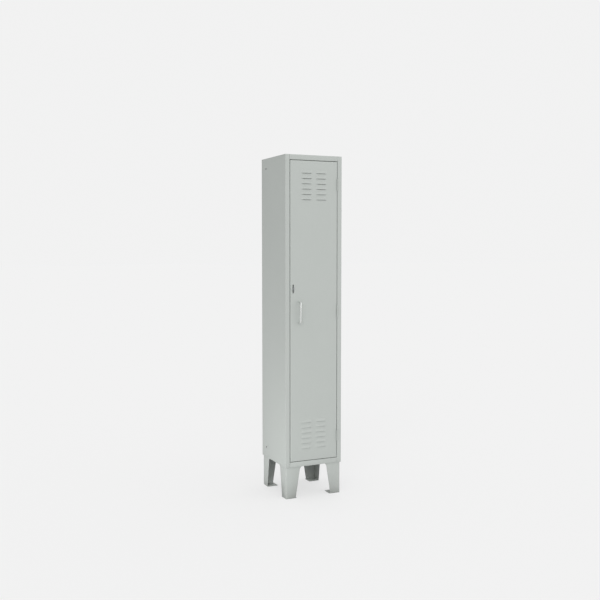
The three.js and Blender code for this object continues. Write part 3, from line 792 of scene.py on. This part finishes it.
def makeHandle():
    cfg = handleSettings
    low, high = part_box("door_handle")
    radius = cfg["bar"] / 2
    handleX = (low.x + high.x) / 2
    barY = low.y + radius
    lowZ, highZ = low.z + radius, high.z - radius
    bm = bmesh.new()
    turn = Matrix.Rotation(math.radians(90), 4, "X")
    bmesh.ops.create_circle(bm, cap_ends=False, radius=radius, segments=cfg["sides"],
                            matrix=Matrix.Translation((handleX, high.y, lowZ)) @ turn)
    ring = bm.edges[:]

    def draw(edges, move):
        step = bmesh.ops.extrude_edge_only(bm, edges=edges)
        verts = set(newVerts(step))
        bmesh.ops.translate(bm, verts=list(verts), vec=move)
        return [edge for edge in bm.edges if edge.verts[0] in verts and edge.verts[1] in verts]

    def bend(edges, centre):
        verts = list({vert for edge in edges for vert in edge.verts})
        step = bmesh.ops.spin(bm, geom=verts + edges, cent=centre, axis=(-1, 0, 0),
                              angle=math.pi / 2, steps=cfg["bendSteps"])
        return [item for item in step["geom_last"] if isinstance(item, bmesh.types.BMEdge)]

    # a post, a bend, the bar, a bend and the other post
    straight = high.y - (barY + cfg["bend"])
    ring = draw(ring, (0, -straight, 0))
    ring = bend(ring, (handleX, barY + cfg["bend"], lowZ + cfg["bend"]))
    ring = draw(ring, (0, 0, highZ - lowZ - 2 * cfg["bend"]))
    ring = bend(ring, (handleX, barY + cfg["bend"], highZ - cfg["bend"]))
    draw(ring, (0, straight, 0))
    bmesh.ops.remove_doubles(bm, verts=bm.verts[:], dist=1e-6)
    bmesh.ops.holes_fill(bm, edges=bm.edges[:], sides=0)
    bmesh.ops.recalc_face_normals(bm, faces=bm.faces[:])
    addPiece("nickel_door_handle", bm, "door", nickel, ["door_handle"])


# the shares are of the head's radius
screwSettings = {
    "shank": 2.5 * mm, "head": 2.5 * mm, "rim": 1.1 * mm, "shoulder": 2.2 * mm, "recess": 1.2 * mm,
    "shoulderShare": 0.72, "recessShare": 0.4, "recessFloorShare": 0.36,
}


def makeHandleScrew(name):
    cfg = screwSettings
    low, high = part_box(name)
    centre = (low + high) / 2
    head = (high.x - low.x) / 2
    length = high.y - low.y
    seat = length - cfg["head"]
    bottom = length - cfg["recess"]
    profile = [
        (0, 0), (cfg["shank"], 0), (cfg["shank"], seat), (head, seat), (head, seat + cfg["rim"]),
        (head * cfg["shoulderShare"], seat + cfg["shoulder"]), (head * cfg["recessShare"], length),
        (head * cfg["recessFloorShare"], bottom), (0, bottom),
    ]
    bm = bmesh.new()
    addTurned(bm, profile, (centre.x, low.y, centre.z), (0, 1, 0))
    addPiece("zinc_" + name, bm, "door", zinc, [name])


makeDoorPan()
makeStiffener()
makeHandle()
makeHandleScrew("handle_screw_bottom")
makeHandleScrew("handle_screw_top")
print("door made")


# hinges
hingeSettings = {
    "knuckle": 3 * mm, "bore": 1.6 * mm, "leaf": 1 * mm, "leafDepth": 15 * mm, "leafReach": 1.2 * mm,
    "leafEdge": 0.2 * mm, "tongueEdge": 0.1 * mm, "tongueLap": 1 * mm, "knuckleEdge": 0.35 * mm,
}
pinSettings = {
    "radius": 1.5 * mm, "point": 0.3 * mm, "head": 1.2 * mm, "rim": 0.5 * mm, "crown": 0.15 * mm,
    "crownShare": 0.6,
}


def addLeaf(bm, leafLow, leafHigh, spans):
    # the flat of the leaf, with tongues that run forward to its knuckles
    cfg = hingeSettings
    addSlab(bm, (leafLow.x, bodyFront - joinGap, leafLow.z),
            (leafHigh.x, bodyFront + cfg["leafDepth"], leafHigh.z), cfg["leafEdge"])
    for low, high in spans:
        addSlab(bm, (leafLow.x, hingeY + cfg["bore"] + joinGap, low + hair),
                (leafHigh.x, bodyFront + cfg["tongueLap"], high - hair), cfg["tongueEdge"])
        ring = [(cfg["bore"], low), (cfg["knuckle"], low), (cfg["knuckle"], high), (cfg["bore"], high)]
        addTurned(bm, ring, (hingeX, hingeY, 0), (0, 0, 1), steps=32, soften=cfg["knuckleEdge"], closed=True)


def makeHinge(name):
    cfg = hingeSettings
    low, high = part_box("hinge_frame_leaf_" + name)
    third = (high.z - low.z) / 3
    frameX, doorX = hingeX + cfg["leafReach"], hingeX - cfg["leafReach"]
    bm = bmesh.new()
    addLeaf(bm, Vector((frameX - cfg["leaf"], 0, low.z)), Vector((frameX, 0, high.z)),
            [(low.z, low.z + third - joinGap), (high.z - third + joinGap, high.z)])
    addPiece("steel_hinge_frame_leaf_" + name, bm, "carcass", paint, ["hinge_frame_leaf_" + name])
    bm = bmesh.new()
    addLeaf(bm, Vector((doorX, 0, low.z)), Vector((doorX + cfg["leaf"], 0, high.z)),
            [(low.z + third, high.z - third)])
    addPiece("steel_hinge_door_leaf_" + name, bm, "door", paint, ["hinge_door_leaf_" + name])


def makeHingePin(name):
    cfg, wide = pinSettings, hingeSettings["knuckle"]
    low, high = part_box("hinge_pin_" + name)
    radius, point = cfg["radius"], cfg["point"]
    head = high.z - cfg["head"]
    profile = [
        (0, low.z), (radius - point, low.z), (radius, low.z + point), (radius, head), (wide, head),
        (wide, head + cfg["rim"]), (wide * cfg["crownShare"], high.z - cfg["crown"]), (0, high.z),
    ]
    bm = bmesh.new()
    addTurned(bm, profile, (hingeX, hingeY, 0), (0, 0, 1))
    addPiece("zinc_hinge_pin_" + name, bm, "carcass", zinc, ["hinge_pin_" + name])


for hingeName in ("bottom", "middle", "top"):
    makeHinge(hingeName)
    makeHingePin(hingeName)
print("hinges made")


# padlock eye, buffers and magnet
eyeSettings = {
    "plate": 2 * mm, "hole": 4.5 * mm, "cell": 5.6 * mm, "corner": 7 * mm, "fold": 2.5 * mm, "edge": 0.4 * mm,
}


def makePadlockEye():
    cfg = eyeSettings
    low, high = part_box("padlock_eye")
    points = [(low.x, high.y, 0), (high.x, high.y, 0), (high.x, low.y, 0)]
    bm = foldedStrip(points, (0, 0, 1), low.z, [high.z], (0, 1, 0), cfg["fold"])
    tips = [vert for vert in bm.verts if abs(vert.co.y - low.y) < tiny]
    bmesh.ops.bevel(bm, geom=tips, offset=cfg["corner"], offset_type="OFFSET", segments=8,
                    profile=0.5, affect="VERTICES", material=-1)
    centre = (high.x, low.y + (high.z - low.z) / 3, slotZ)
    cell = [((0, 1, 0), cfg["cell"]), ((0, 0, 1), cfg["cell"])]
    punch(bm, centre, (1, 0, 0), cell, roundLoop(cfg["hole"]))
    addPiece("zinc_padlock_eye", bm, "carcass", zinc, ["padlock_eye"], sheet=cfg["plate"],
             edge=cfg["edge"])


# shares of the buffer's radius and of its depth, from the root to the nose
bumperSettings = {"outline": [(0, 0), (1, 0), (1, 0.45), (0.8, 0.85), (0.45, 1), (0, 1)]}


def makeBumper(name):
    low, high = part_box(name)
    centre = (low + high) / 2
    radius, depth = (high.x - low.x) / 2, high.y - low.y
    profile = [(radius * across, depth * along) for across, along in bumperSettings["outline"]]
    bm = bmesh.new()
    addTurned(bm, profile, (centre.x, high.y, centre.z), (0, -1, 0))
    addPiece("rubber_" + name, bm, "carcass", rubber, [name])


def makeMagnet():
    bm = bmesh.new()
    addSlab(bm, *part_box("door_magnet"), magnetSettings["edge"], 3)
    addPiece("ferrite_door_magnet", bm, "carcass", ferrite, ["door_magnet"])


makePadlockEye()
makeBumper("door_bumper_top")
makeBumper("door_bumper_bottom")
makeMagnet()
print("closing parts made")


# coat rail, its brackets and the hooks
railSettings = {"width": 12 * mm, "height": 24 * mm, "wall": 1.5 * mm}
railLow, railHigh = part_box("coat_rail")
railY, railZ = (railLow.y + railHigh.y) / 2, (railLow.z + railHigh.z) / 2


def ovalShell(x0, x1, width, height, capped=False):
    # a tube with a slot-ended section along X; its ends stay open unless it is capped
    bm = bmesh.new()
    loop = roundLoop(width / 2, (height - width) / 2, 40)
    edges = loop(bm, Vector((x0, railY, railZ)), (1, 0, 0))
    made = bmesh.ops.extrude_edge_only(bm, edges=edges)
    bmesh.ops.translate(bm, verts=newVerts(made), vec=(x1 - x0, 0, 0))
    if capped:
        bmesh.ops.holes_fill(bm, edges=bm.edges[:], sides=0)
    bmesh.ops.recalc_face_normals(bm, faces=bm.faces[:])
    bm.faces.ensure_lookup_table()
    side = max(bm.faces, key=lambda face: abs(face.normal.y))
    if side.normal.y * (side.calc_center_median().y - railY) < 0:
        bmesh.ops.reverse_faces(bm, faces=bm.faces[:])
    return bm


def makeCoatRail():
    cfg = railSettings
    bm = ovalShell(railLow.x, railHigh.x, cfg["width"], cfg["height"])
    addPiece("zinc_coat_rail", bm, "carcass", zinc, ["coat_rail"], sheet=cfg["wall"])


bracketSettings = {
    "wall": 2.2 * mm, "ear": 9 * mm, "plate": 2 * mm, "edge": 0.5 * mm, "plateEdge": 0.4 * mm,
    "screwHead": [(0, 1.2 * mm), (1.2 * mm, 1.1 * mm), (2.6 * mm, 0.5 * mm), (2.9 * mm, 0), (0, 0)],
}


def makeBracket(name, side):
    # a cup round the rail's end, and a plate with two screw heads against the side panel
    cfg = bracketSettings
    low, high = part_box(name)
    wallFace, cupEnd = (low.x, high.x) if side < 0 else (high.x, low.x)
    plateFace = wallFace - side * cfg["plate"]
    cupWidth, cupHeight = high.y - low.y, high.z - low.z - 2 * cfg["ear"]
    bm = ovalShell(min(plateFace, cupEnd), max(plateFace, cupEnd), cupWidth, cupHeight)
    bracket = addPiece("moulded_" + name, bm, "carcass", moulded, [name], sheet=cfg["wall"],
                       edge=cfg["edge"])
    bm = reopen(bracket)
    plate = ovalShell(min(wallFace, plateFace), max(wallFace, plateFace), cupWidth, high.z - low.z,
                      capped=True)
    roundFolds(plate, foldsOf(plate, 0.8), cfg["plateEdge"], 2)
    addShell(bm, plate)
    for sign in (-1, 1):
        place = (plateFace, railY, railZ + sign * (cupHeight + cfg["ear"]) / 2)
        addTurned(bm, cfg["screwHead"], place, (-side, 0, 0), steps=24)
    closeInto(bracket, bm)


hookSettings = {
    "wall": 3 * mm, "clearance": 0.6 * mm, "arm": 6 * mm, "spread": 20 * mm, "drop": 2 * mm,
    "edge": 0.7 * mm, "neckEdge": 1.2 * mm, "neckLap": 1.5 * mm, "armSides": 20, "armSteps": 28,
}


def makeHook(name, body):
    # a collar round the rail, and a double arm that hangs from it on a short neck
    cfg = hookSettings
    low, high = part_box(name)
    middle = (low.x + high.x) / 2
    around = 2 * (cfg["clearance"] + cfg["wall"])
    height = railSettings["height"] + around
    bm = ovalShell(low.x, high.x, railSettings["width"] + around, height)
    hook = addPiece("moulded_" + name, bm, body, moulded, [name], sheet=cfg["wall"],
                    edge=cfg["edge"])
    bm = reopen(hook)
    half = cfg["arm"] / 2
    collarUnder = railZ - height / 2
    armZ = collarUnder - cfg["drop"]
    radius = cfg["spread"] - half
    arm = bmesh.new()
    bmesh.ops.create_circle(arm, cap_ends=False, radius=half, segments=cfg["armSides"],
                            matrix=Matrix.Translation((middle, railY + radius, armZ)))
    bmesh.ops.spin(arm, geom=arm.verts[:] + arm.edges[:], cent=(middle, railY, armZ), axis=(-1, 0, 0),
                   angle=math.pi, steps=cfg["armSteps"])
    bmesh.ops.remove_doubles(arm, verts=arm.verts[:], dist=1e-6)
    bmesh.ops.holes_fill(arm, edges=arm.edges[:], sides=0)
    bmesh.ops.recalc_face_normals(arm, faces=arm.faces[:])
    addShell(bm, arm)
    for sign in (-1, 1):
        bmesh.ops.create_uvsphere(bm, u_segments=cfg["armSides"], v_segments=12, radius=half,
                                  matrix=Matrix.Translation((middle, railY + sign * radius, armZ)))
    addSlab(bm, (middle - half, railY - half, armZ - radius),
            (middle + half, railY + half, collarUnder + cfg["neckLap"]), cfg["neckEdge"], 3)
    closeInto(hook, bm, 40)


makeCoatRail()
makeBracket("rail_bracket_left", -1)
makeBracket("rail_bracket_right", 1)
for index in (1, 2, 3):
    makeHook(f"coat_hook_{index}", f"hook_{index}")
print("rail and hooks made")


# floor, light and camera
studioSettings = {
    "cameraPlace": (-1.8729, bodyFront - 3.9456, 1.3206), "cameraTurn": (90 - 3.59, 0, -24.44),
    "lens": 50, "sensor": 36, "floorSize": 60, "floorRough": 0.9,
    "floorColor": (0.78, 0.78, 0.78, 1), "floorGlow": 1.03, "floorGlowShare": 0.60,
    # painted shade: a near-black floor colour under the locker and how far it reaches
    "paintedShadeColor": (0.03, 0.03, 0.03, 1), "paintedShadeReach": (0.16, 0.28),
    "backdrop": 0.885, "ambient": 0.78, "ambientTilt": (0.19, -0.06, 0.0),
    "mirrorTilt": (0.50, -0.26, -0.25),
    "keyFrom": (-0.45, -0.8, 0.45), "keySpread": 40, "keyStrength": 0.6,
    "bouncePlace": (-0.82, -0.29, 0.04), "bounceTarget": (-0.16, -0.08, 0.16),
    "bounceSize": 0.4, "bouncePower": 2.5,
}


def makeFloor():
    # the camera sees its shadows thinned out; what bounces up from it is dim under the locker, where the
    # floor carries painted shade, near black for bounced light only, to darken the insides of the legs
    cfg = studioSettings
    bm = bmesh.new()
    bmesh.ops.create_grid(bm, x_segments=1, y_segments=1, size=cfg["floorSize"])
    mesh = bpy.data.meshes.new("studioFloor")
    bm.to_mesh(mesh)
    bm.free()
    material, tree, shader = newMaterial("studioFloor")
    link = tree.links.new
    shader.inputs["Roughness"].default_value = cfg["floorRough"]
    shader.inputs["Specular IOR Level"].default_value = 0.0
    seen = addNode(tree, "ShaderNodeLightPath")
    place = addNode(tree, "ShaderNodeTexCoord")
    distance = addNode(tree, "ShaderNodeVectorMath", operation="LENGTH")
    link(place.outputs["Object"], distance.inputs[0])
    # painted shade: a near-black patch round the locker's foot that bounced light sees and the camera doesn't
    under = addNode(tree, "ShaderNodeMapRange",
                    {"From Min": cfg["paintedShadeReach"][0], "From Max": cfg["paintedShadeReach"][1]},
                    interpolation_type="SMOOTHSTEP")
    link(distance.outputs["Value"], under.inputs["Value"])
    lit = addNode(tree, "ShaderNodeMath", operation="MAXIMUM")
    link(under.outputs["Result"], lit.inputs[0])
    link(seen.outputs["Is Camera Ray"], lit.inputs[1])
    tone = addNode(tree, "ShaderNodeMix", {"A": cfg["paintedShadeColor"], "B": cfg["floorColor"]}, data_type="RGBA")
    link(lit.outputs[0], tone.inputs["Factor"])
    link(tone.outputs["Result"], shader.inputs["Base Color"])
    glow = addNode(tree, "ShaderNodeEmission", {"Strength": cfg["floorGlow"]})
    share = addNode(tree, "ShaderNodeMath", {1: cfg["floorGlowShare"]}, operation="MULTIPLY")
    link(seen.outputs["Is Camera Ray"], share.inputs[0])
    mix = addNode(tree, "ShaderNodeMixShader")
    link(share.outputs[0], mix.inputs["Fac"])
    link(shader.outputs["BSDF"], mix.inputs[1])
    link(glow.outputs["Emission"], mix.inputs[2])
    link(mix.outputs["Shader"], tree.nodes["Material Output"].inputs["Surface"])
    mesh.materials.append(material)
    ground = bpy.data.objects.new("studioFloor", mesh)
    bpy.context.scene.collection.objects.link(ground)
    return ground


def makeWorld():
    # an even white room, a little dimmer to the left, and one flat tone where the camera sees it
    cfg = studioSettings
    world = bpy.data.worlds.new("studio")
    world.use_nodes = True
    tree = world.node_tree
    link = tree.links.new
    background = tree.nodes["Background"]
    background.inputs["Color"].default_value = (1, 1, 1, 1)
    place = addNode(tree, "ShaderNodeTexCoord")
    seen = addNode(tree, "ShaderNodeLightPath")
    lean = addNode(tree, "ShaderNodeMix", {"A": cfg["ambientTilt"], "B": cfg["mirrorTilt"]},
                   data_type="VECTOR")
    link(seen.outputs["Is Glossy Ray"], lean.inputs["Factor"])
    tilt = addNode(tree, "ShaderNodeVectorMath", operation="DOT_PRODUCT")
    link(place.outputs["Generated"], tilt.inputs[0])
    link(lean.outputs["Result"], tilt.inputs[1])
    room = addNode(tree, "ShaderNodeMath", {1: cfg["ambient"]}, operation="ADD")
    link(tilt.outputs["Value"], room.inputs[0])
    level = addNode(tree, "ShaderNodeMix", {"B": cfg["backdrop"]}, data_type="FLOAT")
    link(seen.outputs["Is Camera Ray"], level.inputs["Factor"])
    link(room.outputs[0], level.inputs["A"])
    link(level.outputs["Result"], background.inputs["Strength"])
    bpy.context.scene.world = world


def addLamp(light, place, towards):
    lamp = bpy.data.objects.new(light.name, light)
    lamp.location = place
    lamp.rotation_euler = towards.to_track_quat("-Z", "Y").to_euler()
    lamp.visible_camera = False
    lamp.visible_glossy = False
    bpy.context.scene.collection.objects.link(lamp)
    return lamp


def makeLights(ground):
    cfg = studioSettings
    key = bpy.data.lights.new("keyLight", "SUN")
    key.energy = cfg["keyStrength"]
    key.angle = math.radians(cfg["keySpread"])
    addLamp(key, (0, 0, 4), -Vector(cfg["keyFrom"]))
    bounce = bpy.data.lights.new("floorBounce", "AREA")
    bounce.size = cfg["bounceSize"]
    bounce.energy = cfg["bouncePower"]
    place = Vector(cfg["bouncePlace"])
    lamp = addLamp(bounce, place, Vector(cfg["bounceTarget"]) - place)
    # the bounce lifts the foot of the locker and leaves the floor and the far leg's inside alone
    unlit = bpy.data.collections.new("unlitByBounce")
    for held in (ground, bpy.data.objects["steel_leg_rear_right"]):
        unlit.objects.link(held)
    for member in unlit.collection_objects:
        member.light_linking.link_state = "EXCLUDE"
    lamp.light_linking.receiver_collection = unlit


def makeCamera():
    cfg = studioSettings
    camera = bpy.data.cameras.new("camera")
    camera.lens = cfg["lens"]
    camera.sensor_width = cfg["sensor"]
    holder = bpy.data.objects.new("camera", camera)
    holder.location = cfg["cameraPlace"]
    holder.rotation_euler = [math.radians(angle) for angle in cfg["cameraTurn"]]
    bpy.context.scene.collection.objects.link(holder)
    bpy.context.scene.camera = holder


ground = makeFloor()
makeWorld()
makeLights(ground)
makeCamera()
bpy.context.scene.view_settings.view_transform = "Standard"
print("studio made")
